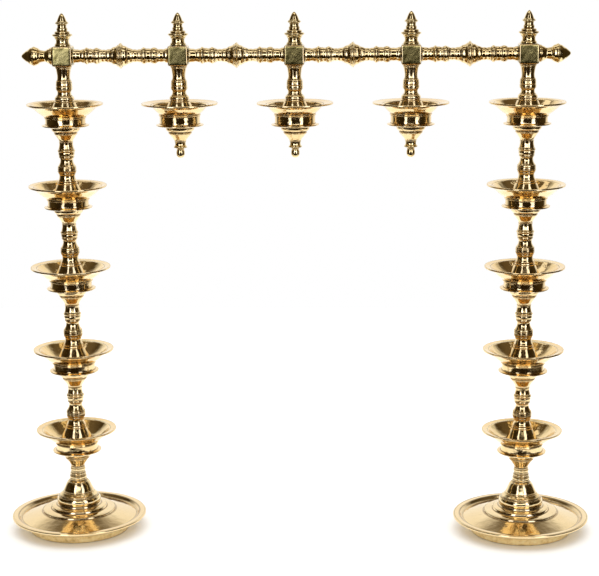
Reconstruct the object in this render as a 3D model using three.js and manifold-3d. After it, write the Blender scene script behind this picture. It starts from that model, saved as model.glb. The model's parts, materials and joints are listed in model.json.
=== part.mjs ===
// Free-standing gate of oil lamps in turned cast brass.
// Two pillars of five lamp bowls stand on dish bases and carry a horizontal
// bar, made of turned segments between bevelled cubes. Three lamps hang under
// the middle cubes. Every section is a separate casting that screws to the
// next one with a threaded spigot or a stud.
// Millimetres, +Z up, bar along X, front towards -Y. The origin is on the
// standing plane, midway between the two pillars.

import * as THREE from 'three';
import { mergeVertices } from 'three/addons/utils/BufferGeometryUtils.js';
import { ConvexGeometry } from 'three/addons/geometries/ConvexGeometry.js';
import Module from 'manifold-3d';

// ---------------------------------------------------------------- dimensions
const U = 1.42;             // module of all turned profiles, mm
const FOOT_Z = -494.8;      // standing plane, in modules below the bar's axis
const BAR_H = -FOOT_Z * U;  // height of the bar's axis, mm

const BAY = 115.9;          // distance between neighbouring cubes, modules
const CUBE = 10.0;          // half the cube's edge, modules
const CUBE_BEVEL = 1.4;     // bevel of the cube's edges, modules

// lamp tiers from the top down: rim height and rim radius, size of the casting
const TIERS = [
  { n: 5, rim: -47.3, R: 38.4, s: 1.0 },
  { n: 4, rim: -130.2, R: 39.6, s: 1.02 },
  { n: 3, rim: -214.1, R: 40.8, s: 1.04 },
  { n: 2, rim: -300.5, R: 41.3, s: 1.055 },
  { n: 1, rim: -386.3, R: 41.3, s: 1.055 },
];
const BOSS_TOP = 4.0;       // raised boss above the rim plane, modules
const NECK_END = -38.5;     // end of the bowl's neck below the rim plane
const DISH_R = 70.0;        // outer radius of the base dish
const DISH_RIM = -478.6;    // height of the dish's flat rim
const SEAT_Z = -466.5;      // seat of the bell pedestal on the dish

const GAP = 0.3;            // joint gap between two touching castings, mm
const SPIGOT_R = 4.6;       // threaded spigot, mm
const SOCKET_R = 5.0;       // its socket, mm
const SPIGOT_L = 7.0;       // spigot length, mm
const SOCKET_L = 7.5;       // socket depth, mm
const STUD_R = 3.6;         // threaded studs of the removable pieces, mm
const STUD_HOLE_R = 4.0;
const STUD_L = 8.0;         // depth of the stud in each of its two pieces, mm
const STUD_HOLE_L = 8.5;

// facets round the axis
const N_BOWL = 16, N_STEM = 10, N_BAR = 10, N_DISH = 20, N_BELL = 12, N_STUD = 8;

// ----------------------------------------------------------------- materials
const brass = (r, g, b, rough) => new THREE.MeshStandardMaterial({
  color: new THREE.Color(r, g, b), roughness: rough, metalness: 1,
});
const BOWL_BRASS = () => brass(0.80, 0.62, 0.30, 0.22);
const STEM_BRASS = () => brass(0.76, 0.57, 0.26, 0.2);
const CUBE_BRASS = () => brass(0.62, 0.52, 0.28, 0.42);
const DISH_BRASS = () => brass(0.82, 0.66, 0.36, 0.26);
const STUD_BRASS = () => brass(0.58, 0.46, 0.24, 0.5);

// ------------------------------------------------------------------- helpers
const root = new THREE.Group();
root.name = 'gate_lamp';

// A turned body about Z. The profile is [radius, height] in mm from its lowest
// point on the axis to its highest.
function turned(profile, facets) {
  const pts = profile.map(([r, z]) => new THREE.Vector2(r, z));
  const g = new THREE.LatheGeometry(pts, facets);
  g.rotateX(Math.PI / 2);
  return g;
}

function add(name, geometry, material, x, z, tilt) {
  const m = new THREE.Mesh(geometry, material);
  m.name = name;
  m.position.set(x, 0, z);
  if (tilt) m.rotation.set(0, tilt, 0);
  root.add(m);
  return m;
}

const mm = (pts) => pts.map(([r, z]) => [r * U, z * U]);

// ---------------------------------------------------------------------- bowl
// One casting: flared bowl with a flat lip, a raised conical boss that keeps
// the oil off the thread, a drum, a flange, a cup and a tapered neck. Heights
// are measured from the rim plane.
function bowl(R, s, hangs) {
  const S = s * U;
  const botR = hangs ? STUD_HOLE_R : SOCKET_R;
  const neck = NECK_END * S;
  return turned([
    [0, neck + SOCKET_L], [botR, neck + SOCKET_L], [botR, neck],
    [7.5 * S, neck],
    [14.8 * S, -31.2 * S], [16.2 * S, -28.4 * S], [16.4 * S, -25.2 * S],
    [24.8 * S, -23.4 * S], [24.8 * S, -21.2 * S],
    [20.7 * S, -19.8 * S], [21.1 * S, -13.0 * S],
    [30.4 * S, -4.6 * S],
    [R * U, -1.3 * S], [(R - 0.4) * U, 0],
    [31.4 * S, -1.5 * S],
    [19.3 * S, -12.3 * S], [16.4 * S, -12.3 * S],
    [12.4 * S, -2.5 * S], [8.8 * S, BOSS_TOP * S],
    [SOCKET_R, BOSS_TOP * S], [SOCKET_R, BOSS_TOP * S - SOCKET_L], [0, BOSS_TOP * S - SOCKET_L],
  ], N_BOWL);
}

// ---------------------------------------------------------------------- stem
// Turned baluster with a spigot at its lower end and a spigot or a stud hole
// at its upper end. Profile heights are fractions of the length.
const TIER_STEM = [   // [distance from the top as a share of the length, radius]
  [1.0, 8.8], [0.86, 8.5], [0.77, 9.5], [0.62, 9.4], [0.56, 8.2], [0.445, 7.0],
  [0.34, 7.7], [0.27, 8.5], [0.22, 9.0], [0.19, 7.9], [0.0, 7.2],
];
const TOP_STEM = [    // the same under a cube, without the upper ring
  [1.0, 10.4], [0.92, 9.0], [0.8, 7.2], [0.68, 8.7], [0.5, 8.2], [0.3, 6.8],
  [0.13, 7.8], [0.03, 8.4], [0.0, 9.2],
];
function stem(table, zLow, zHigh, s, topHole) {
  const L = zHigh - zLow;
  const body = table.map(([f, r]) => [r * s * U, zHigh - f * L]);
  const top = topHole
    ? [[STUD_HOLE_R, zHigh], [STUD_HOLE_R, zHigh - STUD_HOLE_L], [0, zHigh - STUD_HOLE_L]]
    : [[SPIGOT_R, zHigh], [SPIGOT_R, zHigh + SPIGOT_L], [0, zHigh + SPIGOT_L]];
  return turned([
    [0, zLow - SPIGOT_L], [SPIGOT_R, zLow - SPIGOT_L], [SPIGOT_R, zLow],
    ...body, ...top,
  ], N_STEM);
}

// --------------------------------------------------------------- base pieces
function dish() {
  return turned([
    ...mm([[0, -475.6], [30, -476.4], [49.0, -482.2], [48.6, FOOT_Z],
      [52.3, FOOT_Z], [55.4, -485.4], [61.8, -485.2], [65.0, -482.4],
      [DISH_R - 0.5, -481.3], [DISH_R, -480.0], [DISH_R - 0.9, DISH_RIM], [63.2, -479.0],
      [61.2, -482.2], [38.6, -475.2], [37.5, -473.2],
      [29.4, -472.0], [28.4, -469.2], [22.9, -468.3], [22.3, SEAT_Z]]),
    [SOCKET_R, SEAT_Z * U], [SOCKET_R, SEAT_Z * U - SOCKET_L], [0, SEAT_Z * U - SOCKET_L],
  ], N_DISH);
}

function pedestal(zHigh) {
  const zLow = SEAT_Z * U + GAP;
  return turned([
    [0, zLow - SPIGOT_L], [SPIGOT_R, zLow - SPIGOT_L], [SPIGOT_R, zLow],
    ...mm([[21.8, zLow / U], [22.6, -463.6], [20.6, -458.4], [17.5, -455.7],
      [15.5, -452.2], [13.4, -447.6], [12.3, -445.2], [9.0, -442.6],
      [8.6, -438.0], [8.9, -435.4], [7.7, -433.0], [7.5, zHigh / U]]),
    [SPIGOT_R, zHigh], [SPIGOT_R, zHigh + SPIGOT_L], [0, zHigh + SPIGOT_L],
  ], N_BELL);
}

// -------------------------------------------------------------- bar segments
// Turned between two cubes about X, symmetric about its middle disc.
function segment() {
  const half = (BAY / 2 - CUBE) * U - GAP;
  const side = [[0.9, 13.5], [4.4, 10.2], [8.0, 8.0], [15, 6.5],
    [23.5, 8.8], [25.8, 7.8], [31.6, 7.8], [34, 8.8], [36.4, 7.0]];
  const p = [];
  p.push([0, -half - SPIGOT_L], [SPIGOT_R, -half - SPIGOT_L], [SPIGOT_R, -half], [7.3 * U, -half]);
  for (const [t, r] of [...side].reverse()) p.push([r * U, -t * U]);
  for (const [t, r] of side) p.push([r * U, t * U]);
  p.push([7.3 * U, half], [SPIGOT_R, half], [SPIGOT_R, half + SPIGOT_L], [0, half + SPIGOT_L]);
  return turned(p, N_BAR);
}

// ------------------------------------------------------------------- finials
function topFinial() {
  return turned([
    [0, STUD_HOLE_L], [STUD_HOLE_R, STUD_HOLE_L], [STUD_HOLE_R, 0],
    ...mm([[8.9, 0], [8.8, 1.6], [7.1, 4.0], [7.3, 6.8],
      [10.4, 9.9], [10.4, 10.9], [7.9, 13.1], [5.5, 15.2], [5.0, 18.4],
      [6.8, 21.2], [6.8, 23.0], [5.0, 27.2], [2.6, 30.8], [0, 32.4]]),
  ], N_STEM);
}
function barFinial() {
  return turned([
    [0, STUD_HOLE_L], [STUD_HOLE_R, STUD_HOLE_L], [STUD_HOLE_R, 0],
    ...mm([[9.9, 0], [9.5, 2.6], [7.8, 5.2], [6.6, 8.0], [7.0, 11.2],
      [8.6, 14.2], [10.4, 17.4], [10.4, 19.8], [8.3, 23.8], [5.0, 27.4],
      [2.4, 30.2], [0, 31.6]]),
  ], N_STEM);
}
function dropFinial() {
  return turned([
    ...mm([[0, -16.8], [2.6, -16.0], [4.2, -13.4], [4.1, -10.8], [3.9, -9.2],
      [5.6, -6.4], [7.6, -4.6], [7.5, -3.4], [6.5, -2.0], [7.3, 0]]),
    [STUD_HOLE_R - 0.4, 0], [STUD_HOLE_R - 0.4, SPIGOT_L], [0, SPIGOT_L],
  ], N_STEM);
}
const stud = () => turned([
  [0, -STUD_L], [STUD_R, -STUD_L], [STUD_R, STUD_L], [0, STUD_L],
], N_STUD);

// --------------------------------------------------------------------- cubes
const wasm = await Module();
wasm.setup();

function solid(geometry) {
  let g = geometry.clone();
  for (const key of Object.keys(g.attributes)) if (key !== 'position') g.deleteAttribute(key);
  g = mergeVertices(g, 1e-4);
  const index = g.getIndex().array;
  const pos = g.getAttribute('position').array;
  const keep = [];
  for (let i = 0; i < index.length; i += 3) {
    const [a, b, c] = [index[i], index[i + 1], index[i + 2]];
    if (a !== b && b !== c && a !== c) keep.push(a, b, c);
  }
  return new wasm.Manifold(new wasm.Mesh({
    numProp: 3, vertProperties: new Float32Array(pos), triVerts: new Uint32Array(keep),
  }));
}
function fromSolid(body) {
  const mesh = body.getMesh();
  const g = new THREE.BufferGeometry();
  g.setAttribute('position', new THREE.BufferAttribute(new Float32Array(mesh.vertProperties), 3));
  g.setIndex(new THREE.BufferAttribute(new Uint32Array(mesh.triVerts), 1));
  return g;
}

// Bevelled cube with four blind holes: stem below, finial above, bar both ways.
function cubeBlock(bottomR, leftR, rightR) {
  const a = CUBE * U, b = (CUBE - CUBE_BEVEL) * U;
  const pts = [];
  for (const sx of [-1, 1]) for (const sy of [-1, 1]) for (const sz of [-1, 1]) {
    pts.push(new THREE.Vector3(sx * a, sy * b, sz * b));
    pts.push(new THREE.Vector3(sx * b, sy * a, sz * b));
    pts.push(new THREE.Vector3(sx * b, sy * b, sz * a));
  }
  let body = solid(new ConvexGeometry(pts));
  const drill = (r, dx, dz, depth) => {
    const len = depth + 4;
    const c = new THREE.CylinderGeometry(r, r, len, 12);
    if (dz) c.rotateX(Math.PI / 2); else c.rotateZ(Math.PI / 2);
    const at = a - depth + len / 2;
    c.translate(dx * at, 0, dz * at);
    body = body.subtract(solid(c));
  };
  drill(STUD_HOLE_R, 0, 1, STUD_HOLE_L);
  drill(bottomR, 0, -1, bottomR === STUD_HOLE_R ? STUD_HOLE_L : SOCKET_L);
  drill(leftR, -1, 0, leftR === STUD_HOLE_R ? STUD_HOLE_L : SOCKET_L);
  drill(rightR, 1, 0, rightR === STUD_HOLE_R ? STUD_HOLE_L : SOCKET_L);
  return fromSolid(body);
}

// ------------------------------------------------------------------ assembly
const H = (z) => z * U + BAR_H;   // height above the standing plane, mm

// pillars
for (const [side, sx] of [['left', -1], ['right', 1]]) {
  const x = sx * 2 * BAY * U;
  add(`${side}_base_dish`, dish(), DISH_BRASS(), x, BAR_H);
  const neck1 = TIERS[4].rim + NECK_END * TIERS[4].s;
  add(`${side}_bell_pedestal`, pedestal(neck1 * U - GAP), STEM_BRASS(), x, BAR_H);
  TIERS.forEach((t, i) => {
    add(`${side}_lamp_bowl_tier_${t.n}`, bowl(t.R, t.s, false), BOWL_BRASS(), x, H(t.rim));
    const low = (t.rim + BOSS_TOP * t.s) * U + GAP;
    const high = i === 0
      ? -CUBE * U - GAP
      : (TIERS[i - 1].rim + NECK_END * TIERS[i - 1].s) * U - GAP;
    add(`${side}_stem_above_tier_${t.n}`,
      stem(i === 0 ? TOP_STEM : TIER_STEM, low, high, i === 0 ? 1 : t.s, false),
      STEM_BRASS(), x, BAR_H);
  });
}

// cubes, from left to right
const CUBES = [
  ['left_end_cube', -2], ['left_inner_cube', -1], ['centre_cube', 0],
  ['right_inner_cube', 1], ['right_end_cube', 2],
];
for (const [name, k] of CUBES) {
  add(name, cubeBlock(Math.abs(k) === 2 ? SOCKET_R : STUD_HOLE_R,
    k === -2 ? STUD_HOLE_R : SOCKET_R, k === 2 ? STUD_HOLE_R : SOCKET_R),
  CUBE_BRASS(), k * BAY * U, BAR_H);
  const tag = name.replace('_cube', '');
  add(`${tag}_top_finial`, topFinial(), STEM_BRASS(), k * BAY * U, H(CUBE) + GAP);
  add(`${tag}_top_finial_stud`, stud(), STUD_BRASS(), k * BAY * U, H(CUBE) + GAP / 2);
}

// bar segments
[['outer_left', -1.5], ['inner_left', -0.5], ['inner_right', 0.5], ['outer_right', 1.5]]
  .forEach(([name, k]) => {
    add(`${name}_bar_segment`, segment(), STEM_BRASS(), k * BAY * U, BAR_H, Math.PI / 2);
  });

// pointed finials at both ends of the bar
for (const [side, sx] of [['left', -1], ['right', 1]]) {
  const x = sx * (2 * BAY + CUBE) * U;
  add(`${side}_bar_end_finial`, barFinial(), STEM_BRASS(), x + sx * GAP, BAR_H, sx * Math.PI / 2);
  add(`${side}_bar_end_stud`, stud(), STUD_BRASS(), x + sx * GAP / 2, BAR_H, Math.PI / 2);
}

// hanging lamps
for (const [tag, k] of [['left', -1], ['centre', 0], ['right', 1]]) {
  const x = k * BAY * U;
  const t = TIERS[0];
  add(`${tag}_pendant_stud`, stud(), STUD_BRASS(), x, H(-CUBE) - GAP / 2);
  add(`${tag}_pendant_stem`,
    stem(TOP_STEM, (t.rim + BOSS_TOP) * U + GAP, -CUBE * U - GAP, 1, true),
    STEM_BRASS(), x, BAR_H);
  add(`${tag}_pendant_bowl`, bowl(t.R, t.s, true), BOWL_BRASS(), x, H(t.rim));
  add(`${tag}_pendant_drop_finial`, dropFinial(), STEM_BRASS(), x, H(t.rim + NECK_END) - GAP);
}

export default root;
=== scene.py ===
import bpy, bmesh, json, math
import numpy as np
from mathutils import Matrix, Vector


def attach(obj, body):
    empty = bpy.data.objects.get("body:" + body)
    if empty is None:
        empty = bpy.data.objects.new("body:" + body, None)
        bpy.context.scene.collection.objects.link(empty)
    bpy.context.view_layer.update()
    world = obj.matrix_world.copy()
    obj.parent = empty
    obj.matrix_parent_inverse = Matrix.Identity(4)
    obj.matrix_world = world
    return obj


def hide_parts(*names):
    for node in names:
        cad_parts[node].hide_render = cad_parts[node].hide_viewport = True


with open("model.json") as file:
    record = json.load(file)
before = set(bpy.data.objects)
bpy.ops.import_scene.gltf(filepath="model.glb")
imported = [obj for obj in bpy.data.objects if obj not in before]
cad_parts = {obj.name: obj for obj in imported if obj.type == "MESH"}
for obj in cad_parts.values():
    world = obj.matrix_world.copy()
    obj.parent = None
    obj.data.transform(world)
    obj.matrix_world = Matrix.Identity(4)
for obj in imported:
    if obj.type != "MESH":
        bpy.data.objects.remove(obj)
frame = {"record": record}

# ------------------------------------------------------------------ dimensions
U = 0.00142            # module of the turned profiles, metres
FOOT_Z = -494.8        # standing plane below the bar's axis, modules
BAR_H = -FOOT_Z * U
BAY, CUBE = 115.9, 10.0
TIERS = [(5, -47.3, 38.4, 1.0), (4, -130.2, 39.6, 1.02), (3, -214.1, 40.8, 1.04),
         (2, -300.5, 41.3, 1.055), (1, -386.3, 41.3, 1.055)]
BOSS_TOP, NECK_END = 4.0, -38.5
GAP = 0.0003 / U       # joint gap, modules

body_of = {}
for body, names in frame["record"]["behaviour"]["bodies"].items():
    for n in names:
        body_of[n] = body


# ------------------------------------------------------------------- materials
class Nodes:
    """Small helper that adds shader nodes and links them."""

    def __init__(self, name):
        self.mat = bpy.data.materials.new(name)
        self.mat.use_nodes = True
        self.tree = self.mat.node_tree
        self.tree.nodes.clear()
        self.out = self.add("ShaderNodeOutputMaterial")
        self.bsdf = self.add("ShaderNodeBsdfPrincipled")
        self.link(self.bsdf.outputs[0], self.out.inputs["Surface"])

    def add(self, kind, **props):
        n = self.tree.nodes.new(kind)
        for k, v in props.items():
            setattr(n, k, v)
        return n

    def link(self, a, b):
        self.tree.links.new(a, b)

    def noise(self, vec, scale, detail=3.0, rough=0.5, distortion=0.0):
        n = self.add("ShaderNodeTexNoise")
        n.inputs["Scale"].default_value = scale
        n.inputs["Detail"].default_value = detail
        n.inputs["Roughness"].default_value = rough
        n.inputs["Distortion"].default_value = distortion
        self.link(vec, n.inputs["Vector"])
        return n.outputs["Fac"]

    def ramp(self, fac, stops):
        n = self.add("ShaderNodeValToRGB")
        el = n.color_ramp.elements
        while len(el) > 1:
            el.remove(el[-1])
        for i, (pos, col) in enumerate(stops):
            e = el[0] if i == 0 else el.new(pos)
            e.position = pos
            e.color = (*col, 1.0) if len(col) == 3 else col
        self.link(fac, n.inputs["Fac"])
        return n.outputs["Color"]

    def span(self, fac, a, b, lo, hi):
        n = self.add("ShaderNodeMapRange")
        n.inputs["From Min"].default_value = a
        n.inputs["From Max"].default_value = b
        n.inputs["To Min"].default_value = lo
        n.inputs["To Max"].default_value = hi
        self.link(fac, n.inputs["Value"])
        return n.outputs["Result"]

    def math(self, op, a, b):
        n = self.add("ShaderNodeMath", operation=op)
        for i, v in enumerate((a, b)):
            if isinstance(v, (int, float)):
                n.inputs[i].default_value = v
            else:
                self.link(v, n.inputs[i])
        return n.outputs[0]

    def mix(self, fac, a, b):
        n = self.add("ShaderNodeMix", data_type="RGBA")
        if isinstance(fac, (int, float)):
            n.inputs[0].default_value = fac
        else:
            self.link(fac, n.inputs[0])
        for sock, v in ((n.inputs[6], a), (n.inputs[7], b)):
            if isinstance(v, tuple):
                sock.default_value = (*v, 1.0)
            else:
                self.link(v, sock)
        return n.outputs[2]

    def bump(self, height, strength, distance, normal=None):
        n = self.add("ShaderNodeBump")
        n.inputs["Strength"].default_value = strength
        n.inputs["Distance"].default_value = distance
        self.link(height, n.inputs["Height"])
        if normal is not None:
            self.link(normal, n.inputs["Normal"])
        return n.outputs["Normal"]

    def stretched(self, vec, scale):
        n = self.add("ShaderNodeMapping")
        n.inputs["Scale"].default_value = scale
        self.link(vec, n.inputs["Vector"])
        return n.outputs["Vector"]


def brass_material(name, tone=(0.93, 0.735, 0.41), deep=(0.86, 0.62, 0.29),
                   rough=0.07, wobble=1.0, seed=0.0, lay=0.6):
    """Polished turned brass: slow tone changes, lathe lines that run round the
    axis, a slightly wavy hand polish, grooves darkened with painted shade and patina, and finger haze.
    The lay of the lathe lines spreads every reflection along the axis."""
    m = Nodes(name)
    tc = m.add("ShaderNodeTexCoord")
    shift = m.add("ShaderNodeMapping")
    shift.inputs["Location"].default_value = (seed, seed * 0.7, -seed * 0.4)
    m.link(tc.outputs["Object"], shift.inputs["Vector"])
    pos = shift.outputs["Vector"]
    uv = tc.outputs["UV"]          # u round the axis, v along the profile (metres)
    patina_and_shade_fac = m.add("ShaderNodeAttribute", attribute_name="patina_and_shade").outputs["Fac"]

    slow = m.noise(pos, 14.0, 2.0, 0.5)
    patch = m.noise(pos, 46.0, 4.0, 0.6)
    tone_fac = m.span(m.math("ADD", m.math("MULTIPLY", slow, 0.6), m.math("MULTIPLY", patch, 0.4)),
                      0.38, 0.64, 0.0, 1.0)
    colour = m.mix(tone_fac, tone, deep)
    spots = m.span(m.noise(pos, 260.0, 2.0, 0.5), 0.66, 0.78, 0.0, 0.35)
    colour = m.mix(spots, colour, (0.55, 0.36, 0.14))
    # Painted shade: grooves, thread roots and the line under each bowl's lip are darkened in the colour, partly real
    # patina and partly painted shade.
    patina_and_shade_mask = m.math("MULTIPLY", patina_and_shade_fac, m.span(m.noise(pos, 180.0, 3.0, 0.6), 0.3, 0.7, 0.55, 1.0))
    colour = m.mix(patina_and_shade_mask, colour, (0.16, 0.085, 0.03))
    m.link(colour, m.bsdf.inputs["Base Color"])
    m.bsdf.inputs["Metallic"].default_value = 1.0

    haze = m.span(m.noise(pos, 70.0, 5.0, 0.62), 0.45, 0.75, 0.0, 0.10)
    streak = m.span(m.noise(m.stretched(uv, (3.0, 1500.0, 1.0)), 1.0, 2.0, 0.6), 0.35, 0.7, 0.0, 0.05)
    r = m.math("ADD", m.math("ADD", haze, streak), rough)
    r = m.math("ADD", r, m.math("MULTIPLY", patina_and_shade_mask, 0.34))
    m.link(r, m.bsdf.inputs["Roughness"])
    round_axis = m.add("ShaderNodeTangent", direction_type="UV_MAP", uv_map="UVMap")
    m.link(round_axis.outputs[0], m.bsdf.inputs["Tangent"])
    m.bsdf.inputs["Anisotropic"].default_value = lay
    m.bsdf.inputs["Anisotropic Rotation"].default_value = 0.25

    wave = m.noise(pos, 95.0, 2.0, 0.5)
    lines = m.noise(m.stretched(uv, (5.0, 2600.0, 1.0)), 1.0, 2.0, 0.55)
    fine = m.noise(pos, 900.0, 2.0, 0.6)
    n = m.bump(wave, 0.5 * wobble, 0.0011)
    n = m.bump(lines, 0.10, 0.00012, n)
    n = m.bump(fine, 0.05, 0.0001, n)
    m.link(n, m.bsdf.inputs["Normal"])
    return m.mat


def dish_material(name):
    """The dish: polished above, raw sand-cast brass on the foot and underside."""
    m = Nodes(name)
    tc = m.add("ShaderNodeTexCoord")
    pos, uv = tc.outputs["Object"], tc.outputs["UV"]
    cast = m.add("ShaderNodeAttribute", attribute_name="cast").outputs["Fac"]
    patina_and_shade_fac = m.add("ShaderNodeAttribute", attribute_name="patina_and_shade").outputs["Fac"]
    slow = m.noise(pos, 16.0, 3.0, 0.5)
    polish = m.mix(m.span(slow, 0.35, 0.65, 0.0, 1.0), (0.92, 0.73, 0.42), (0.87, 0.66, 0.35))
    spots = m.span(m.noise(pos, 210.0, 2.0, 0.5), 0.64, 0.76, 0.0, 0.3)
    polish = m.mix(spots, polish, (0.62, 0.42, 0.18))
    grain = m.noise(pos, 420.0, 5.0, 0.7)
    raw = m.ramp(m.noise(pos, 130.0, 5.0, 0.65),
                 [(0.30, (0.62, 0.42, 0.15)), (0.50, (0.90, 0.68, 0.31)), (0.70, (0.97, 0.83, 0.48))])
    raw = m.mix(m.span(grain, 0.45, 0.65, 0.0, 0.5), raw, (0.95, 0.80, 0.50))
    colour = m.mix(cast, polish, raw)
    # Painted shade: the dish's turned grooves and edge line are darkened in the colour, partly real patina and partly
    # painted shade.
    patina_and_shade_mask = m.math("MULTIPLY", patina_and_shade_fac, m.span(m.noise(pos, 180.0, 3.0, 0.6), 0.3, 0.7, 0.6, 1.0))
    colour = m.mix(patina_and_shade_mask, colour, (0.17, 0.09, 0.03))
    m.link(colour, m.bsdf.inputs["Base Color"])
    m.link(m.math("SUBTRACT", 1.0, m.math("MULTIPLY", cast, 0.6)), m.bsdf.inputs["Metallic"])
    haze = m.span(m.noise(pos, 60.0, 5.0, 0.62), 0.45, 0.78, 0.0, 0.08)
    streak = m.span(m.noise(m.stretched(uv, (4.0, 1300.0, 1.0)), 1.0, 2.0, 0.6), 0.35, 0.7, 0.0, 0.06)
    r = m.math("ADD", m.math("ADD", haze, streak), 0.05)
    r = m.math("ADD", r, m.math("MULTIPLY", cast, 0.40))
    r = m.math("ADD", r, m.math("MULTIPLY", patina_and_shade_mask, 0.3))
    m.link(r, m.bsdf.inputs["Roughness"])
    n = m.bump(m.noise(pos, 60.0, 2.0, 0.5), 0.35, 0.0012)
    n = m.bump(m.noise(m.stretched(uv, (5.0, 2300.0, 1.0)), 1.0, 2.0, 0.55), 0.10, 0.00014, n)
    rough_h = m.math("MULTIPLY", m.math("ADD", grain, m.noise(pos, 150.0, 4.0, 0.6)), cast)
    n = m.bump(rough_h, 0.9, 0.0011, n)
    m.link(n, m.bsdf.inputs["Normal"])
    return m.mat


def cube_material(name):
    """Cube: faces filed and brushed on the slant, bevels polished bright; the faces carry painted shade (near-black
    olive) and a painted lighter highlight patch.
    """
    m = Nodes(name)
    tc = m.add("ShaderNodeTexCoord")
    pos = tc.outputs["Object"]
    uv = tc.outputs["UV"]
    bevel = m.add("ShaderNodeAttribute", attribute_name="bevel").outputs["Fac"]
    rot = m.add("ShaderNodeMapping")
    rot.inputs["Rotation"].default_value = (0.0, 0.0, math.radians(-38))
    m.link(uv, rot.inputs["Vector"])
    a = m.noise(m.stretched(rot.outputs["Vector"], (45.0, 520.0, 1.0)), 1.0, 3.0, 0.6)
    rot2 = m.add("ShaderNodeMapping")
    rot2.inputs["Rotation"].default_value = (0.0, 0.0, math.radians(24))
    m.link(uv, rot2.inputs["Vector"])
    b = m.noise(m.stretched(rot2.outputs["Vector"], (110.0, 1900.0, 1.0)), 1.0, 2.0, 0.6)
    marks = m.math("ADD", m.math("MULTIPLY", a, 0.7), m.math("MULTIPLY", b, 0.3))
    # Painted highlight: a soft lighter patch laid across the faces.
    painted_highlight_patch = m.noise(m.stretched(rot.outputs["Vector"], (30.0, 95.0, 1.0)), 1.0, 3.0, 0.55)
    # Painted shade: the faces are coloured near-black olive for the dark surroundings they reflect, over the real filed
    # finish.
    filed_face_painted_shade = m.mix(m.span(marks, 0.38, 0.60, 0.0, 1.0), (0.09, 0.075, 0.02), (0.29, 0.24, 0.08))
    filed_face_painted_shade = m.mix(m.span(painted_highlight_patch, 0.47, 0.60, 0.0, 0.8), filed_face_painted_shade, (0.62, 0.52, 0.22))
    bright = m.mix(m.span(m.noise(pos, 120.0, 4.0, 0.6), 0.35, 0.65, 0.0, 1.0), (0.92, 0.73, 0.42), (0.86, 0.63, 0.31))
    m.link(m.mix(bevel, filed_face_painted_shade, bright), m.bsdf.inputs["Base Color"])
    m.bsdf.inputs["Metallic"].default_value = 1.0
    r = m.span(marks, 0.35, 0.65, 0.30, 0.20)
    r = m.math("ADD", m.math("MULTIPLY", r, m.math("SUBTRACT", 1.0, bevel)), m.math("MULTIPLY", bevel, 0.05))
    m.link(r, m.bsdf.inputs["Roughness"])
    h = m.math("MULTIPLY", marks, m.math("SUBTRACT", 1.0, m.math("MULTIPLY", bevel, 0.85)))
    n = m.bump(h, 0.22, 0.00018)
    n = m.bump(m.noise(pos, 110.0, 2.0, 0.5), 0.25, 0.0009, n)
    m.link(n, m.bsdf.inputs["Normal"])
    return m.mat


BOWL = brass_material("bowl_brass_polished", seed=0.0)
STEM = brass_material("stem_brass_polished", tone=(0.92, 0.74, 0.42), deep=(0.82, 0.60, 0.29), rough=0.09, seed=3.1, lay=0.8)
BAR = brass_material("bar_brass_polished", tone=(0.93, 0.75, 0.42), deep=(0.82, 0.60, 0.28), rough=0.06, wobble=0.6, seed=6.3, lay=0.5)
FINIAL = brass_material("finial_brass_polished", tone=(0.93, 0.76, 0.42), deep=(0.84, 0.63, 0.29), rough=0.06, wobble=0.7, seed=9.7, lay=0.5)
THREAD = brass_material("thread_brass_plain", tone=(0.78, 0.58, 0.30), deep=(0.62, 0.43, 0.20), rough=0.22, wobble=0.3, seed=1.9)
DISH = dish_material("dish_brass")
CUBE_MAT = cube_material("cube_brass_brushed")


# -------------------------------------------------------------------- profiles
def smooth_profile(points):
    """Control points (r, z[, c[, shade[, cast]]]) to a fine polyline. A point with no c bends softly,
    c is the set-back of a crisp corner in modules, shade darkens grooves and lips with painted shade and patina, cast
    marks raw cast brass."""
    P = [(p[0], p[1]) for p in points]
    soft = [len(p) < 3 or p[2] is None for p in points]
    back = [None if s else p[2] for s, p in zip(soft, points)]
    patina_and_shade_vals = [p[3] if len(p) > 3 else 0.0 for p in points]
    cast = [p[4] if len(p) > 4 else 0.0 for p in points]
    out = [(P[0][0], P[0][1], patina_and_shade_vals[0], cast[0])]
    for i in range(1, len(P) - 1):
        a, b, c = map(Vector, (P[i - 1], P[i], P[i + 1]))
        la, lc = (a - b).length, (c - b).length
        if la < 1e-6 or lc < 1e-6:
            continue
        if soft[i]:
            da, dc, steps = 0.5 * la, 0.5 * lc, 3
            if not soft[i - 1]:
                da = 0.85 * la
            if not soft[i + 1]:
                dc = 0.85 * lc
            da, dc = min(da, 4 * dc), min(dc, 4 * da)
        else:
            da, dc, steps = min(back[i], 0.45 * la), min(back[i], 0.45 * lc), 2
        s, e = b + (a - b) * (da / la), b + (c - b) * (dc / lc)
        if not soft[i] and la > 5 * da:      # keeps the flat beside it flat
            q = b + (a - b) * (2.2 * da / la)
            out.append((q.x, q.y, patina_and_shade_vals[i] * 0.5, cast[i]))
        for k in range(steps + 1):
            t = k / steps
            q = s * (1 - t) ** 2 + b * 2 * t * (1 - t) + e * t * t
            out.append((q.x, q.y, patina_and_shade_vals[i], cast[i]))
        if not soft[i] and lc > 5 * dc:
            q = b + (c - b) * (2.2 * dc / lc)
            out.append((q.x, q.y, patina_and_shade_vals[i] * 0.5, cast[i]))
    out.append((P[-1][0], P[-1][1], patina_and_shade_vals[-1], cast[-1]))
    clean = [out[0]]
    for q in out[1:]:
        if math.hypot(q[0] - clean[-1][0], q[1] - clean[-1][1]) > 0.02:
            clean.append(q)
    return clean


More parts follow.
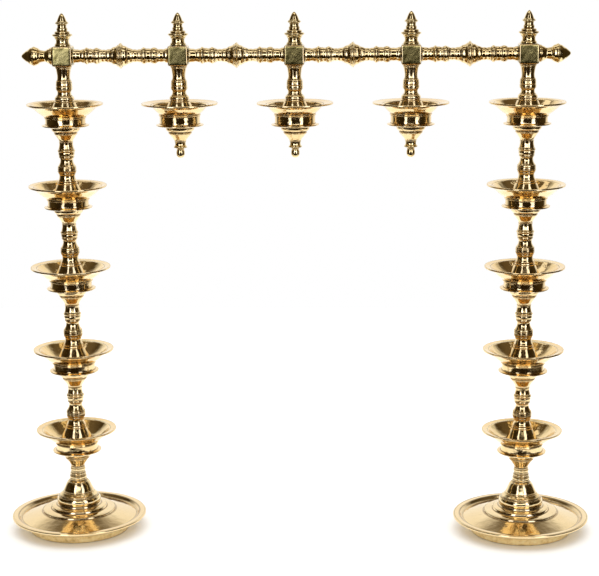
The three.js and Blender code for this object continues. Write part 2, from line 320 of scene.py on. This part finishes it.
def rippled(prof, depth, wave):
    """Shallow ripples of the turning tool along a fine profile (modules)."""
    out = [prof[0]]
    for a, b in zip(prof, prof[1:]):
        n = max(1, int(math.hypot(b[0] - a[0], b[1] - a[1]) / 0.45))
        for i in range(1, n + 1):
            t = i / n
            out.append(tuple(u + (v - u) * t for u, v in zip(a, b)))
    ends = (min(p[1] for p in out), max(p[1] for p in out))
    done = []
    for p in out:
        near = min(p[1] - ends[0], ends[1] - p[1])
        fade = max(0.0, min(1.0, (near - 0.5) / 1.5)) * max(0.0, min(1.0, (p[0] - 4.0) / 1.5))
        done.append((p[0] + depth * fade * math.sin(2 * math.pi * p[1] / wave + 0.6 * math.sin(p[1] * 0.37)), *p[1:]))
    return done


def lathe(name, points, facets, mat, node, place=None, scale=1.0, ripple=None):
    """Turns a profile (modules) about Z into a closed smooth mesh."""
    prof = smooth_profile(points)
    if ripple:
        prof = rippled(prof, *ripple)
    k = U * scale
    r = np.array([max(p[0], 0.0) * k for p in prof])
    z = np.array([p[1] * k for p in prof])
    arc = np.concatenate([[0.0], np.cumsum(np.hypot(np.diff(r), np.diff(z)))])
    n = len(prof)
    pole = [r[0] < 1e-7, r[-1] < 1e-7]
    verts, ring = [], []
    for i in range(n):
        if (i == 0 and pole[0]) or (i == n - 1 and pole[1]):
            ring.append([len(verts)])
            verts.append((0.0, 0.0, z[i]))
        else:
            ring.append(list(range(len(verts), len(verts) + facets)))
            for j in range(facets):
                a = 2 * math.pi * j / facets
                verts.append((r[i] * math.cos(a), r[i] * math.sin(a), z[i]))
    faces, uvs = [], []
    for i in range(n - 1):
        A, B = ring[i], ring[i + 1]
        for j in range(facets):
            j2 = (j + 1) % facets
            u0, u1 = j / facets, (j + 1) / facets
            if len(A) == 1 and len(B) == 1:
                continue
            if len(A) == 1:
                faces.append((A[0], B[j2], B[j]))
                uvs.append(((u0 + 0.5 / facets, arc[i]), (u1, arc[i + 1]), (u0, arc[i + 1])))
            elif len(B) == 1:
                faces.append((A[j], A[j2], B[0]))
                uvs.append(((u0, arc[i]), (u1, arc[i]), (u0 + 0.5 / facets, arc[i + 1])))
            else:
                faces.append((A[j], A[j2], B[j2], B[j]))
                uvs.append(((u0, arc[i]), (u1, arc[i]), (u1, arc[i + 1]), (u0, arc[i + 1])))
    if not pole[0]:
        faces.append(tuple(reversed(ring[0])))
        uvs.append(tuple((j / facets, arc[0]) for j in reversed(range(facets))))
    if not pole[1]:
        faces.append(tuple(ring[-1]))
        uvs.append(tuple((j / facets, arc[-1]) for j in range(facets)))
    me = bpy.data.meshes.new(name)
    me.from_pydata(verts, [], faces)
    uv = me.uv_layers.new(name="UVMap")
    uv.data.foreach_set("uv", [c for f in uvs for p in f for c in p])
    # Per profile point: darkening painted into grooves and under lips (painted shade, partly real patina), and the raw
    # cast finish.
    for key, col in (("patina_and_shade", 2), ("cast", 3)):
        att = me.attributes.new(key, "FLOAT", "POINT")
        vals = []
        for i in range(n):
            vals += [prof[i][col]] * len(ring[i])
        att.data.foreach_set("value", vals)
    if place is not None:
        me.transform(place)
    me.update()
    bm = bmesh.new()
    bm.from_mesh(me)
    bmesh.ops.recalc_face_normals(bm, faces=bm.faces)
    bm.to_mesh(me)
    bm.free()
    me.polygons.foreach_set("use_smooth", [True] * len(me.polygons))
    me.materials.append(mat)
    ob = bpy.data.objects.new(name, me)
    bpy.context.scene.collection.objects.link(ob)
    if node:
        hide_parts(node)
        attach(ob, body_of[node])
    return ob


def at(x, z):
    return Matrix.Translation((x, 0.0, z))


# Bowl: from the end of the neck, up the outside, over the rim, down the inside
# to the boss. Heights from the rim plane.
def bowl_profile(R, s, hangs=False):
    q = R / s          # rim radius in this casting's own modules
    low = -1.1 if hangs else 0.0   # the hanging castings have a slimmer neck
    foot = [
        (0.0, -38.4), (6.9 + low, -38.4, 0.15, 0.5), (7.05 + low, -38.1, 0.12), (7.1 + low, -37.2), (7.8 + 0.7 * low, -35.9),
        (9.3 + 0.3 * low, -33.7), (10.9, -31.4),
        (11.8, -30.4, 0.2, 0.3), (12.0, -29.9, 0.12), (11.6, -29.6, 0.1, 0.9), (11.2, -29.3, 0.1, 1.0), (11.3, -28.8, 0.1, 1.0),
        (12.5, -28.5, 0.15, 0.6), (13.7, -27.5), (14.4, -26.2), (14.7, -24.6), (14.8, -24.0, 0.2, 0.8), (16.6, -23.6), (20.8, -23.3),
        (23.2, -22.8), (23.9, -22.3, 0.25), (23.85, -21.7, 0.2), (22.9, -21.4), (21.4, -21.1), (20.5, -20.6, 0.25, 0.7),
        (20.3, -19.9),
    ]
    if hangs:
        wall = [
            (20.3, -16.5), (20.3, -13.3), (20.35, -12.8, 0.12, 0.9), (21.1, -12.5, 0.15, 0.2), (21.3, -12.0, 0.15),
            (20.7, -11.2, 0.12, 0.8), (20.9, -10.6, 0.12, 0.8), (22.3, -9.4), (24.6, -7.2), (26.6, -4.9), (28.0, -3.6), (30.6, -2.7),
            (34.0, -2.1),
        ]
        well = [(34.2, -0.6), (30.8, -1.1), (28.2, -1.6, 0.25), (27.2, -2.3, 0.25), (25.3, -4.4), (23.2, -6.9), (21.2, -9.3), (19.6, -11.0), (18.4, -11.9, None, 0.4), (16.9, -12.1, None, 0.5)]
    else:
        wall = [
            (20.3, -17.5), (20.3, -15.3), (20.35, -14.8, 0.12, 0.9), (21.1, -14.5, 0.15, 0.2), (21.5, -14.1, 0.15),
            (21.2, -13.4, 0.15), (20.9, -13.0, 0.12, 0.9), (21.7, -12.6), (24.5, -10.8), (27.5, -8.4), (30.3, -5.8), (32.6, -3.9), (35.0, -2.7),
            (37.4, -2.0),
        ]
        well = [(35.0, -0.55), (32.9, -1.0, 0.25), (32.2, -1.5, 0.25), (29.6, -4.2), (26.8, -7.0), (24.0, -9.4), (21.4, -11.2), (19.0, -12.1, None, 0.4), (16.9, -12.2, None, 0.5)]
    # The fourth values under the rim and in the well paint shade into the colour: a dark line below the lip and
    # darkening towards the boss, partly real patina.
    return foot + wall + [
        (q - 1.2, -1.65, None, 0.5), (q - 0.15, -1.5, 0.1, 0.6), (q, -1.25, 0.1, 0.3), (q, -0.4, 0.1), (q - 0.3, 0.0, 0.15), (q - 1.3, 0.02),
    ] + well + [
        (15.2, -9.2), (12.7, -3.8), (10.6, 0.8),
        (9.8, 2.2, 0.2, 0.4), (9.9, 2.9), (9.3, 3.9, 0.3), (8.2, 3.95, 0.2, 0.6), (0.0, 3.95),
    ]


# The fourth values in these profiles darken the grooves in the colour: painted shade, partly real patina.
# Baluster between two tiers, from its top (0) down, L = 40.4
TIER = [
    (0.0, 0.05), (6.9, 0.05, 0.15, 0.6), (7.0, 0.8), (6.75, 2.0), (6.9, 3.6), (7.4, 6.0), (7.8, 7.9, 0.2, 0.5), (8.5, 8.3),
    (8.85, 9.1), (8.5, 9.9), (7.9, 10.4, 0.15, 0.9), (8.1, 10.9), (8.15, 12.2), (7.8, 13.8), (7.45, 14.4, 0.15, 0.8),
    (7.75, 14.9), (7.7, 15.5, 0.2, 0.5), (6.8, 16.9), (6.35, 18.7), (6.6, 20.9), (7.5, 23.0), (8.5, 24.5), (9.1, 25.4, 0.2),
    (9.25, 26.3, 0.15, 0.3), (8.75, 26.7, 0.15, 0.9), (9.3, 27.1, 0.15, 0.3), (9.4, 28.9, 0.15, 0.3), (8.9, 29.35, 0.15, 0.9),
    (9.35, 29.8, 0.15, 0.3), (9.2, 31.3), (8.6, 32.2, 0.2, 0.6), (7.9, 33.4), (7.8, 35.4), (8.1, 37.8), (8.9, 39.2), (9.2, 40.0),
    (9.0, 40.35, 0.2, 0.6), (0.0, 40.35),
]
# Baluster under a cube, from the cube down, L = 33.3
TOP = [
    (0.0, 0.05), (8.5, 0.05, 0.15, 0.5), (8.6, 0.9), (8.0, 1.7, 0.2, 0.5), (7.5, 2.6), (7.2, 4.4), (6.8, 7.0), (6.45, 10.0),
    (6.6, 12.6), (7.1, 14.2, 0.2, 0.6), (7.9, 14.8), (8.05, 15.5), (7.75, 16.3, 0.15, 0.9), (8.1, 16.8, 0.15), (8.3, 19.4, 0.15),
    (7.8, 20.0, 0.15, 0.9), (8.35, 20.6, 0.15), (8.5, 22.8), (8.1, 23.6, 0.2, 0.6), (7.2, 24.6), (6.8, 26.4), (7.1, 28.4),
    (8.0, 29.8, 0.2, 0.5), (9.0, 30.5), (9.7, 31.6), (10.0, 32.6), (9.9, 33.2, 0.2, 0.6), (0.0, 33.2),
]
SEGMENT = [  # half a bar segment from its middle disc outwards
    (12.6, 0.0), (12.7, 0.5, 0.25), (11.9, 1.3), (10.9, 2.1, 0.3, 0.4), (10.2, 3.2), (9.6, 4.6), (9.0, 6.2), (8.2, 7.6, 0.3, 0.4),
    (7.4, 9.2), (6.6, 11.6), (6.15, 14.6), (6.15, 17.8), (6.5, 20.0), (7.1, 21.4, 0.4, 0.4), (8.0, 22.4), (8.4, 23.6),
    (8.0, 24.8), (7.3, 25.7, 0.4, 0.4), (7.05, 27.0), (7.1, 29.6), (7.4, 31.6, 0.4, 0.4), (8.1, 32.8), (8.4, 34.0),
    (8.0, 35.2), (7.2, 36.2, 0.4, 0.4), (6.5, 37.8), (6.3, 41.0), (6.6, 44.2), (7.2, 46.2), (7.4, 47.4, 0.2),
]
TOP_FINIAL = [
    (0.0, 0.05), (7.6, 0.05, 0.15, 0.6), (8.0, 0.5, 0.15), (8.0, 1.3, 0.15), (7.4, 1.9, 0.15, 0.8), (6.8, 2.6), (6.5, 3.8), (6.5, 5.6),
    (6.8, 6.6, 0.15, 0.9), (7.5, 7.0, 0.15), (7.6, 7.9), (8.1, 8.8), (9.0, 9.6, 0.2, 0.5), (9.9, 10.0, 0.15), (10.1, 10.7, 0.2), (9.8, 11.3, 0.2, 0.4),
    (8.6, 11.8), (7.3, 12.4, 0.15, 1.0), (7.3, 12.8, 0.15, 0.6), (7.7, 13.1, 0.15), (7.7, 13.8, 0.15), (6.7, 14.3, 0.15, 0.6), (5.2, 14.8, 0.2, 1.0),
    (5.1, 15.3, 0.15, 0.5), (5.6, 15.8, 0.2), (5.6, 17.0, 0.2), (5.0, 17.5, 0.15, 0.9), (4.6, 18.4), (4.5, 19.8), (4.9, 20.9, 0.2, 0.9),
    (5.9, 21.5), (6.6, 22.1, 0.2), (6.7, 22.8, 0.2), (5.9, 23.4, 0.15, 0.8), (5.0, 24.1), (4.5, 25.4), (3.8, 27.2), (2.9, 29.2),
    (1.9, 30.8), (0.8, 31.9), (0.0, 32.3),
]
BAR_FINIAL = [
    (0.0, 0.05), (8.6, 0.05, 0.15, 0.6), (8.9, 1.0), (8.5, 2.2, 0.2, 0.5), (7.6, 3.6), (6.7, 5.2), (5.8, 7.2), (5.5, 9.2), (5.8, 11.2, None, 0.2),
    (6.7, 13.0), (7.9, 14.6), (8.9, 16.4), (9.5, 18.2), (9.6, 19.4, 0.4, 0.3), (8.9, 21.0), (7.9, 22.8), (6.8, 24.6), (5.4, 26.6),
    (3.9, 28.6), (2.4, 30.3), (1.1, 31.3), (0.0, 31.6),
]
DROP = [
    (0.0, 0.05), (5.7, 0.05, 0.15, 0.6), (5.6, 0.8), (5.3, 2.2), (5.5, 3.8), (6.2, 4.8), (6.8, 5.4, 0.2), (6.7, 6.1, 0.2, 0.4),
    (5.5, 6.7), (4.1, 7.4, 0.2, 0.7), (3.5, 8.2, 0.2, 0.9), (3.8, 8.9), (4.2, 10.2), (4.3, 12.4), (4.0, 14.2), (3.1, 15.7),
    (1.6, 16.6), (0.0, 16.85),
]
BELL = [  # absolute heights, from the dish up
    (0.0, -466.25), (21.5, -466.25, 0.2, 0.9), (22.3, -465.5), (22.75, -463.8), (22.6, -461.8), (21.9, -459.9), (21.0, -458.7, 0.2, 0.4),
    (20.3, -458.3, 0.12, 1.0), (20.0, -457.6, 0.12, 0.4), (18.9, -456.9), (17.5, -455.7), (16.5, -454.3, 0.4), (15.5, -452.2), (14.4, -449.8),
    (13.4, -447.6), (12.5, -445.6), (11.6, -444.2), (10.6, -443.1, 0.2), (9.7, -442.5, 0.2, 0.5), (9.0, -442.0, 0.1, 1.0),
    (8.7, -441.5, 0.1, 1.0), (8.9, -441.0, 0.2), (8.9, -438.4), (8.7, -437.7, 0.15, 0.7), (7.9, -437.3, 0.1, 1.0), (7.8, -436.6, 0.1, 0.8),
    (8.3, -436.2, 0.2), (8.4, -434.8), (8.1, -434.2, 0.15, 0.7), (7.5, -433.8, 0.1, 1.0), (7.4, -431.6, 0.1, 0.9),
    (7.9, -431.2, 0.15), (7.9, -429.6, 0.15), (7.3, -429.1, 0.1, 1.0), (7.3, -427.4, 0.1, 0.8), (0.0, -427.3),
]


def dish_profile(edge_line):
    """Absolute heights, from the middle of the underside outwards; edge_line
    is the depth of the line turned near the lip's outer edge."""
    # The fourth values darken the grooves and the edge line in the colour (painted shade, partly real patina); the
    # fifth marks raw cast brass.
    return [
        (0.0, -475.6, None, 0, 1), (30.0, -476.4, None, 0, 1), (48.6, -481.8, 0.5, 0.3, 1), (48.9, -494.3, 0.3, 0.2, 1),
        (49.3, -494.75, 0.2, 0.3, 1), (51.6, -494.75, 0.3, 0.3, 1), (52.4, -493.4, None, 0, 1), (52.9, -489.8, None, 0, 1),
        (54.2, -486.6, None, 0.1, 1), (56.4, -485.4, 0.4, 0.3, 0.8), (62.0, -485.0, None, 0, 0.4), (65.2, -482.9, None, 0.2, 0.1), (67.6, -481.9),
        (69.3, -481.2, 0.2, 0.5), (69.95, -480.5, 0.2), (70.0, -479.4, 0.15), (69.7, -478.8, 0.15), (68.9, -478.65, 0.1, 0.2),
        (68.55, -478.65 - edge_line, 0.06, min(1.0, 4 * edge_line)), (68.2, -478.62, 0.1, 0.2), (66.2, -478.5), (64.3, -478.6, 0.1, 0.2),
        (63.7, -478.85, 0.08, 1.0), (63.2, -479.0, 0.1, 0.9), (62.9, -479.3, 0.15, 0.3), (61.2, -481.0, 0.3, 0.3), (59.9, -481.5, 0.3, 0.5),
        (54.0, -479.8), (46.0, -477.4), (38.9, -475.2, 0.2, 0.6), (38.0, -474.9, 0.1, 1.0), (37.7, -473.5, 0.25),
        (36.4, -472.9), (30.0, -472.1), (29.2, -471.8, 0.12, 1.0), (28.7, -470.0, 0.25), (27.6, -469.2), (23.8, -468.4, 0.2, 0.5),
        (22.9, -468.1, 0.12, 1.0), (22.5, -466.65, 0.2), (0.0, -466.6),
    ]


def flipped(points, length):
    """A profile written from the top down, turned to run upwards."""
    return [(p[0], length - p[1], *p[2:]) for p in reversed(points)]


def stretched_profile(points, factor):
    return [(p[0], p[1] * factor, *p[2:]) for p in points]


# --------------------------------------------------------------------- pillars
for side, sx in (("left", -1), ("right", 1)):
    x = sx * 2 * BAY * U
    lathe(f"{side}_dish_fine", dish_profile(0.05 if sx < 0 else 0.3), 128, DISH, f"{side}_base_dish", at(x, BAR_H))
    lathe(f"{side}_bell_fine", BELL, 64, STEM, f"{side}_bell_pedestal", at(x, BAR_H))
    for i, (n, rim, R, s) in enumerate(TIERS):
        lathe(f"{side}_bowl_{n}_fine", bowl_profile(R, s), 80, BOWL, f"{side}_lamp_bowl_tier_{n}",
              at(x, BAR_H + rim * U), scale=s)
        low = rim + BOSS_TOP * s + GAP
        if i == 0:
            high = -CUBE - GAP
            prof = flipped(TOP, 33.3)
            k, nominal = 1.0, 33.3
        else:
            up = TIERS[i - 1]
            high = up[1] + NECK_END * up[3] - GAP
            k, nominal = s, 40.4
            prof = flipped(TIER, 40.4)
        L = (high - low) / k
        lathe(f"{side}_stem_{n}_fine", stretched_profile(prof, L / nominal), 48, STEM,
              f"{side}_stem_above_tier_{n}", at(x, BAR_H + low * U), scale=k)


# ----------------------------------------------------------------------- cubes
CUBE_ROUND = 13.0      # the higher, the sharper the cube's edges


def cube_piece(name, node, x, holes):
    """Bevelled cube with softly rounded corners, faces a touch pillowed, and
    the plain round holes that its neighbours screw into."""
    a = CUBE * U
    bm = bmesh.new()
    bmesh.ops.create_cube(bm, size=2)
    bmesh.ops.subdivide_edges(bm, edges=bm.edges[:], cuts=25, use_grid_fill=True)
    for v in bm.verts:      # closer rows towards the edges, then the rounding
        d = [math.copysign(math.sin(abs(c) * math.pi / 2) ** 0.9, c) for c in v.co]
        k = a / sum(abs(c) ** CUBE_ROUND for c in d) ** (1 / CUBE_ROUND)
        v.co = Vector(d) * k
    me = bpy.data.meshes.new(name)
    bm.to_mesh(me)
    bm.free()
    ob = bpy.data.objects.new(name, me)
    bpy.context.scene.collection.objects.link(ob)
    for axis, sign, r in holes:
        cb = bmesh.new()
        depth = 7.5e-3
        bmesh.ops.create_cone(cb, cap_ends=True, segments=32, radius1=r, radius2=r, depth=2 * depth)
        q = Vector((0, 0, 1)).rotation_difference(Vector(axis) * sign).to_matrix().to_4x4()
        bmesh.ops.transform(cb, matrix=Matrix.Translation(Vector(axis) * sign * a) @ q, verts=cb.verts)
        cm = bpy.data.meshes.new("cutter")
        cb.to_mesh(cm)
        cb.free()
        cut = bpy.data.objects.new("cutter", cm)
        bpy.context.scene.collection.objects.link(cut)
        mod = ob.modifiers.new("hole", "BOOLEAN")
        mod.operation, mod.solver, mod.object = "DIFFERENCE", "EXACT", cut
        dg = bpy.context.evaluated_depsgraph_get()
        done = bpy.data.meshes.new_from_object(ob.evaluated_get(dg))
        ob.modifiers.remove(mod)
        old = ob.data
        ob.data = done
        bpy.data.meshes.remove(old)
        bpy.data.objects.remove(cut)
        bpy.data.meshes.remove(cm)
    me = ob.data
    me.name = name
    bev = me.attributes.new("bevel", "FLOAT", "CORNER")
    uv = me.uv_layers.new(name="UVMap")
    for p in me.polygons:
        n = p.normal
        big = max(abs(n.x), abs(n.y), abs(n.z))
        for li in p.loop_indices:
            v = me.vertices[me.loops[li].vertex_index].co
            if abs(n.x) == big:
                c = (v.y * (1 if n.x > 0 else -1), v.z)
            elif abs(n.y) == big:
                c = (v.x * (1 if n.y < 0 else -1), v.z)
            else:
                c = (v.x, v.y)
            uv.data[li].uv = (c[0] + 0.05 * round(n.x) + 0.11 * round(n.y), c[1] + 0.07 * round(n.z))
            bev.data[li].value = min(1.0, max(0.0, (0.992 - big) / 0.03))
        p.use_smooth = True
    me.set_sharp_from_angle(angle=math.radians(40))
    me.transform(at(x, BAR_H))
    me.materials.append(CUBE_MAT)
    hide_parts(node)
    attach(ob, body_of[node])
    return ob


def thread_piece(name, node, matrix):
    """Stud with a real helical thread, 1.5 mm pitch, 8 mm each way."""
    r_out, r_in, pitch, half, steps = 3.55e-3, 2.75e-3, 1.5e-3, 7.9e-3, 24
    shape = [(0.0, r_in), (0.28, r_in), (0.46, r_out), (0.54, r_out), (0.72, r_in)]
    rows = []
    turns = int(2 * half / pitch) + 1
    verts, faces = [], []
    # a ring for every profile step along the axis, shifted round by the helix
    nz = int(round(2 * half / (pitch / 10)))
    for i in range(nz + 1):
        z = -half + 2 * half * i / nz
        row = []
        for j in range(steps):
            a = 2 * math.pi * j / steps
            ph = ((z / pitch) - j / steps) % 1.0
            tri = abs(ph - 0.5) * 2
            r = r_in + (r_out - r_in) * min(1.0, max(0.0, (1 - tri) * 1.5 - 0.25))
            edge = min(1.0, (half - abs(z)) / 6e-4)
            r = r_in * (1 - edge) * 0.96 + r * edge
            row.append(len(verts))
            verts.append((r * math.cos(a), r * math.sin(a), z))
        rows.append(row)
    for i in range(nz):
        for j in range(steps):
            k = (j + 1) % steps
            faces.append((rows[i][j], rows[i][k], rows[i + 1][k], rows[i + 1][j]))
    faces.append(tuple(reversed(rows[0])))
    faces.append(tuple(rows[-1]))
    me = bpy.data.meshes.new(name)
    me.from_pydata(verts, [], faces)
    me.uv_layers.new(name="UVMap")
    # Thread roots darker than the crests: painted shade in the hollows, partly real patina.
    att = me.attributes.new("patina_and_shade", "FLOAT", "POINT")
    att.data.foreach_set("value", [0.55 * (1 - (math.hypot(v[0], v[1]) - r_in) / (r_out - r_in)) for v in verts])
    me.transform(matrix)
    me.update()
    me.materials.append(THREAD)
    ob = bpy.data.objects.new(name, me)
    bpy.context.scene.collection.objects.link(ob)
    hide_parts(node)
    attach(ob, body_of[node])
    return ob


X, Z = (1, 0, 0), (0, 0, 1)
for tag, k in (("left_end", -2), ("left_inner", -1), ("centre", 0), ("right_inner", 1), ("right_end", 2)):
    x = k * BAY * U
    holes = [(Z, 1, 0.004), (Z, -1, 0.005 if abs(k) == 2 else 0.004),
             (X, -1, 0.004 if k == -2 else 0.005), (X, 1, 0.004 if k == 2 else 0.005)]
    cube_piece(f"{tag}_cube_fine", f"{tag}_cube", x, holes)
    lathe(f"{tag}_top_finial_fine", TOP_FINIAL, 48, FINIAL, f"{tag}_top_finial", at(x, BAR_H + (CUBE + GAP) * U))
    thread_piece(f"{tag}_top_stud_fine", f"{tag}_top_finial_stud", at(x, BAR_H + (CUBE + GAP / 2) * U))

half = BAY / 2 - CUBE - GAP
bar = ([(0.0, -half + 0.02), (6.9, -half + 0.02, 0.15, 0.6)]
       + [(p[0], -p[1] * half / 47.66, *p[2:]) for p in reversed(SEGMENT)]
       + [(p[0], p[1] * half / 47.66, *p[2:]) for p in SEGMENT[1:]]
       + [(6.9, half - 0.02, 0.15, 0.6), (0.0, half - 0.02)])
for tag, k in (("outer_left", -1.5), ("inner_left", -0.5), ("inner_right", 0.5), ("outer_right", 1.5)):
    lathe(f"{tag}_bar_fine", bar, 48, BAR, f"{tag}_bar_segment",
          at(k * BAY * U, BAR_H) @ Matrix.Rotation(math.pi / 2, 4, "Y"), ripple=(0.19, 4.4))

for side, sx in (("left", -1), ("right", 1)):
    turn = Matrix.Rotation(sx * math.pi / 2, 4, "Y")
    xf = sx * (2 * BAY + CUBE) * U
    lathe(f"{side}_bar_finial_fine", BAR_FINIAL, 48, FINIAL, f"{side}_bar_end_finial", at(xf + sx * GAP * U, BAR_H) @ turn, ripple=(0.16, 4.4))
    thread_piece(f"{side}_bar_stud_fine", f"{side}_bar_end_stud", at(xf + sx * GAP * U / 2, BAR_H) @ turn)

for tag, k in (("left", -1), ("centre", 0), ("right", 1)):
    x = k * BAY * U
    n, rim, R, s = TIERS[0]
    thread_piece(f"{tag}_pendant_stud_fine", f"{tag}_pendant_stud", at(x, BAR_H - (CUBE + GAP / 2) * U))
    low, high = rim + BOSS_TOP + GAP, -CUBE - GAP
    lathe(f"{tag}_pendant_stem_fine", stretched_profile(flipped(TOP, 33.3), (high - low) / 33.3), 48, STEM,
          f"{tag}_pendant_stem", at(x, BAR_H + low * U))
    lathe(f"{tag}_pendant_bowl_fine", bowl_profile(R, s, True), 80, BOWL, f"{tag}_pendant_bowl",
          at(x, BAR_H + rim * U))
    lathe(f"{tag}_pendant_drop_fine", flipped(DROP, 0.0), 40, FINIAL, f"{tag}_pendant_drop_finial",
          at(x, BAR_H + (rim + NECK_END - GAP) * U))


# ----------------------------------------------------------------- stage, light
def stage_material(name, colour, rough):
    m = Nodes(name)
    tc = m.add("ShaderNodeTexCoord")
    n = m.noise(tc.outputs["Object"], 3.0, 3.0, 0.5)
    m.link(m.mix(m.span(n, 0.3, 0.7, 0.0, 1.0), colour, tuple(c * 0.99 for c in colour)), m.bsdf.inputs["Base Color"])
    m.bsdf.inputs["Roughness"].default_value = rough
    m.bsdf.inputs["Specular IOR Level"].default_value = 0.2
    return m.mat


def table(x0, x1, y0, y1, r, steps=12):
    """Pale table top with rounded corners, wider than the view of the gate."""
    vs = []
    for cx, cy, a0 in ((x1 - r, y1 - r, 0), (x0 + r, y1 - r, 90), (x0 + r, y0 + r, 180), (x1 - r, y0 + r, 270)):
        for i in range(steps + 1):
            a = math.radians(a0 + 90 * i / steps)
            vs.append((cx + r * math.cos(a), cy + r * math.sin(a), 0.0))
    me = bpy.data.meshes.new("floor")
    me.from_pydata(vs, [], [tuple(range(len(vs)))])
    me.materials.append(stage_material("floor_pale", (0.93, 0.93, 0.925), 0.6))
    ob = bpy.data.objects.new("floor", me)
    ob.location = (0, 0, -0.0002)
    bpy.context.scene.collection.objects.link(ob)
    return ob


table(-1.0, 1.0, -0.37, 1.5, 0.10)


def area(name, place, aim, w, h, radiance, colour=(1, 1, 1), diffuse=False, glossy=True, spread=180):
    """Soft light of an even radiance, seen only by the surfaces it lights."""
    d = bpy.data.lights.new(name, "AREA")
    d.shape, d.size, d.size_y = "RECTANGLE", w, h
    d.energy, d.color, d.spread = radiance * math.pi * w * h, colour, math.radians(spread)
    o = bpy.data.objects.new(name, d)
    o.location = place
    o.rotation_euler = (Vector(aim) - Vector(place)).to_track_quat("-Z", "Y").to_euler()
    o.visible_camera = False
    o.visible_diffuse = diffuse
    o.visible_glossy = glossy
    bpy.context.scene.collection.objects.link(o)
    return o


COOL = (0.96, 1.0, 1.16)
area("front_low", (-0.10, -2.75, 1.27), (-0.10, 0.0, 1.27), 2.7, 0.72, 2.5)
area("floor_light", (0.0, 0.1, 2.6), (0.0, 0.1, 0.0), 4.0, 3.8, 1.15, diffuse=True, glossy=False)
area("strip_left", (-1.05, -2.10, 1.50), (0.0, 0.0, 1.50), 0.60, 3.0, 1.75, COOL)
area("strip_left_core", (-1.03, -2.06, 0.78), (0.0, 0.0, 0.78), 0.44, 0.7, 1.7, COOL)
area("strip_right", (1.42, -1.78, 1.50), (0.0, 0.0, 1.50), 0.74, 3.0, 1.70, COOL)
area("strip_right_core", (1.39, -1.74, 0.76), (0.0, 0.0, 0.76), 0.54, 0.7, 1.7, COOL)
area("overhead_front", (0.2, -0.92, 3.0), (0.2, -0.92, 0.0), 1.9, 0.85, 1.35)
area("overhead_back", (-0.5, 1.25, 3.0), (-0.5, 1.25, 0.0), 2.6, 1.1, 1.0)
area("overhead_left", (-1.45, -0.35, 3.0), (-1.45, -0.35, 0.0), 0.7, 0.5, 1.3)
area("overhead_right", (1.45, -0.35, 3.0), (1.45, -0.35, 0.0), 0.7, 0.5, 1.3)

# Surroundings: bright sweep behind, dim warm room in front and at the sides.
world = bpy.data.worlds.new("studio")
bpy.context.scene.world = world
world.use_nodes = True
wt = world.node_tree
wt.nodes.clear()


def wnode(kind, **props):
    n = wt.nodes.new(kind)
    for k, v in props.items():
        setattr(n, k, v)
    return n


def wrange(value, a, b):
    n = wnode("ShaderNodeMapRange", interpolation_type="SMOOTHSTEP")
    n.inputs["From Min"].default_value = a
    n.inputs["From Max"].default_value = b
    wt.links.new(value, n.inputs["Value"])
    return n.outputs["Result"]


def wmix(fac, a, b):
    n = wnode("ShaderNodeMix", data_type="RGBA")
    wt.links.new(fac, n.inputs[0])
    for sock, v in ((n.inputs[6], a), (n.inputs[7], b)):
        if isinstance(v, tuple):
            sock.default_value = (*v, 1.0)
        else:
            wt.links.new(v, sock)
    return n.outputs[2]


tc = wnode("ShaderNodeTexCoord")
sep = wnode("ShaderNodeSeparateXYZ")
wt.links.new(tc.outputs["Generated"], sep.inputs[0])
room = wmix(wrange(sep.outputs["Y"], -0.9, 0.35), (0.018, 0.010, 0.002), (0.052, 0.036, 0.014))
room = wmix(wrange(sep.outputs["Y"], 0.35, 0.78), room, (1.05, 1.03, 1.0))
room = wmix(wrange(sep.outputs["Z"], 0.50, 0.82), room, (0.13, 0.095, 0.05))
glow = wnode("ShaderNodeBackground")
wt.links.new(room, glow.inputs["Color"])
glow.inputs["Strength"].default_value = 1.0
white = wnode("ShaderNodeBackground")
white.inputs["Color"].default_value = (1, 1, 1, 1)
white.inputs["Strength"].default_value = 1.0
path = wnode("ShaderNodeLightPath")
mixs = wnode("ShaderNodeMixShader")
wo = wnode("ShaderNodeOutputWorld")
plain = wnode("ShaderNodeMath", operation="MAXIMUM")   # what the eye and the pale table see
wt.links.new(path.outputs["Is Camera Ray"], plain.inputs[0])
wt.links.new(path.outputs["Is Diffuse Ray"], plain.inputs[1])
wt.links.new(plain.outputs[0], mixs.inputs["Fac"])
wt.links.new(glow.outputs[0], mixs.inputs[1])
wt.links.new(white.outputs[0], mixs.inputs[2])
wt.links.new(mixs.outputs[0], wo.inputs["Surface"])

scene = bpy.context.scene
scene.view_settings.view_transform = "Standard"
scene.view_settings.look = "None"
scene.view_settings.exposure = 0.0

# ---------------------------------------------------------------------- camera
CAM_F, CAM_X, CAM_Z = 1737.0, 74.5, 128.9          # modules
PITCH, YAW, ROLL = math.radians(11.89), math.radians(-2.36), math.radians(-0.52)
cam_data = bpy.data.cameras.new("camera")
cam = bpy.data.objects.new("camera", cam_data)
scene.collection.objects.link(cam)
cam_data.sensor_width = 36.0
cam_data.lens = 36.0 * CAM_F / 599.0
cam_data.clip_start, cam_data.clip_end = 0.05, 60.0
ca, sa, cy, sy = math.cos(PITCH), math.sin(PITCH), math.cos(YAW), math.sin(YAW)
fwd = Vector((sy * ca, cy * ca, -sa))
right = Vector((cy, -sy, 0.0))
up = right.cross(fwd)
r2 = right * math.cos(ROLL) + up * math.sin(ROLL)
u2 = -right * math.sin(ROLL) + up * math.cos(ROLL)
rot = Matrix((r2, u2, -fwd)).transposed().to_4x4()
cam.matrix_world = Matrix.Translation((CAM_X * U, -CAM_F * U, BAR_H + CAM_Z * U)) @ rot
scene.camera = cam
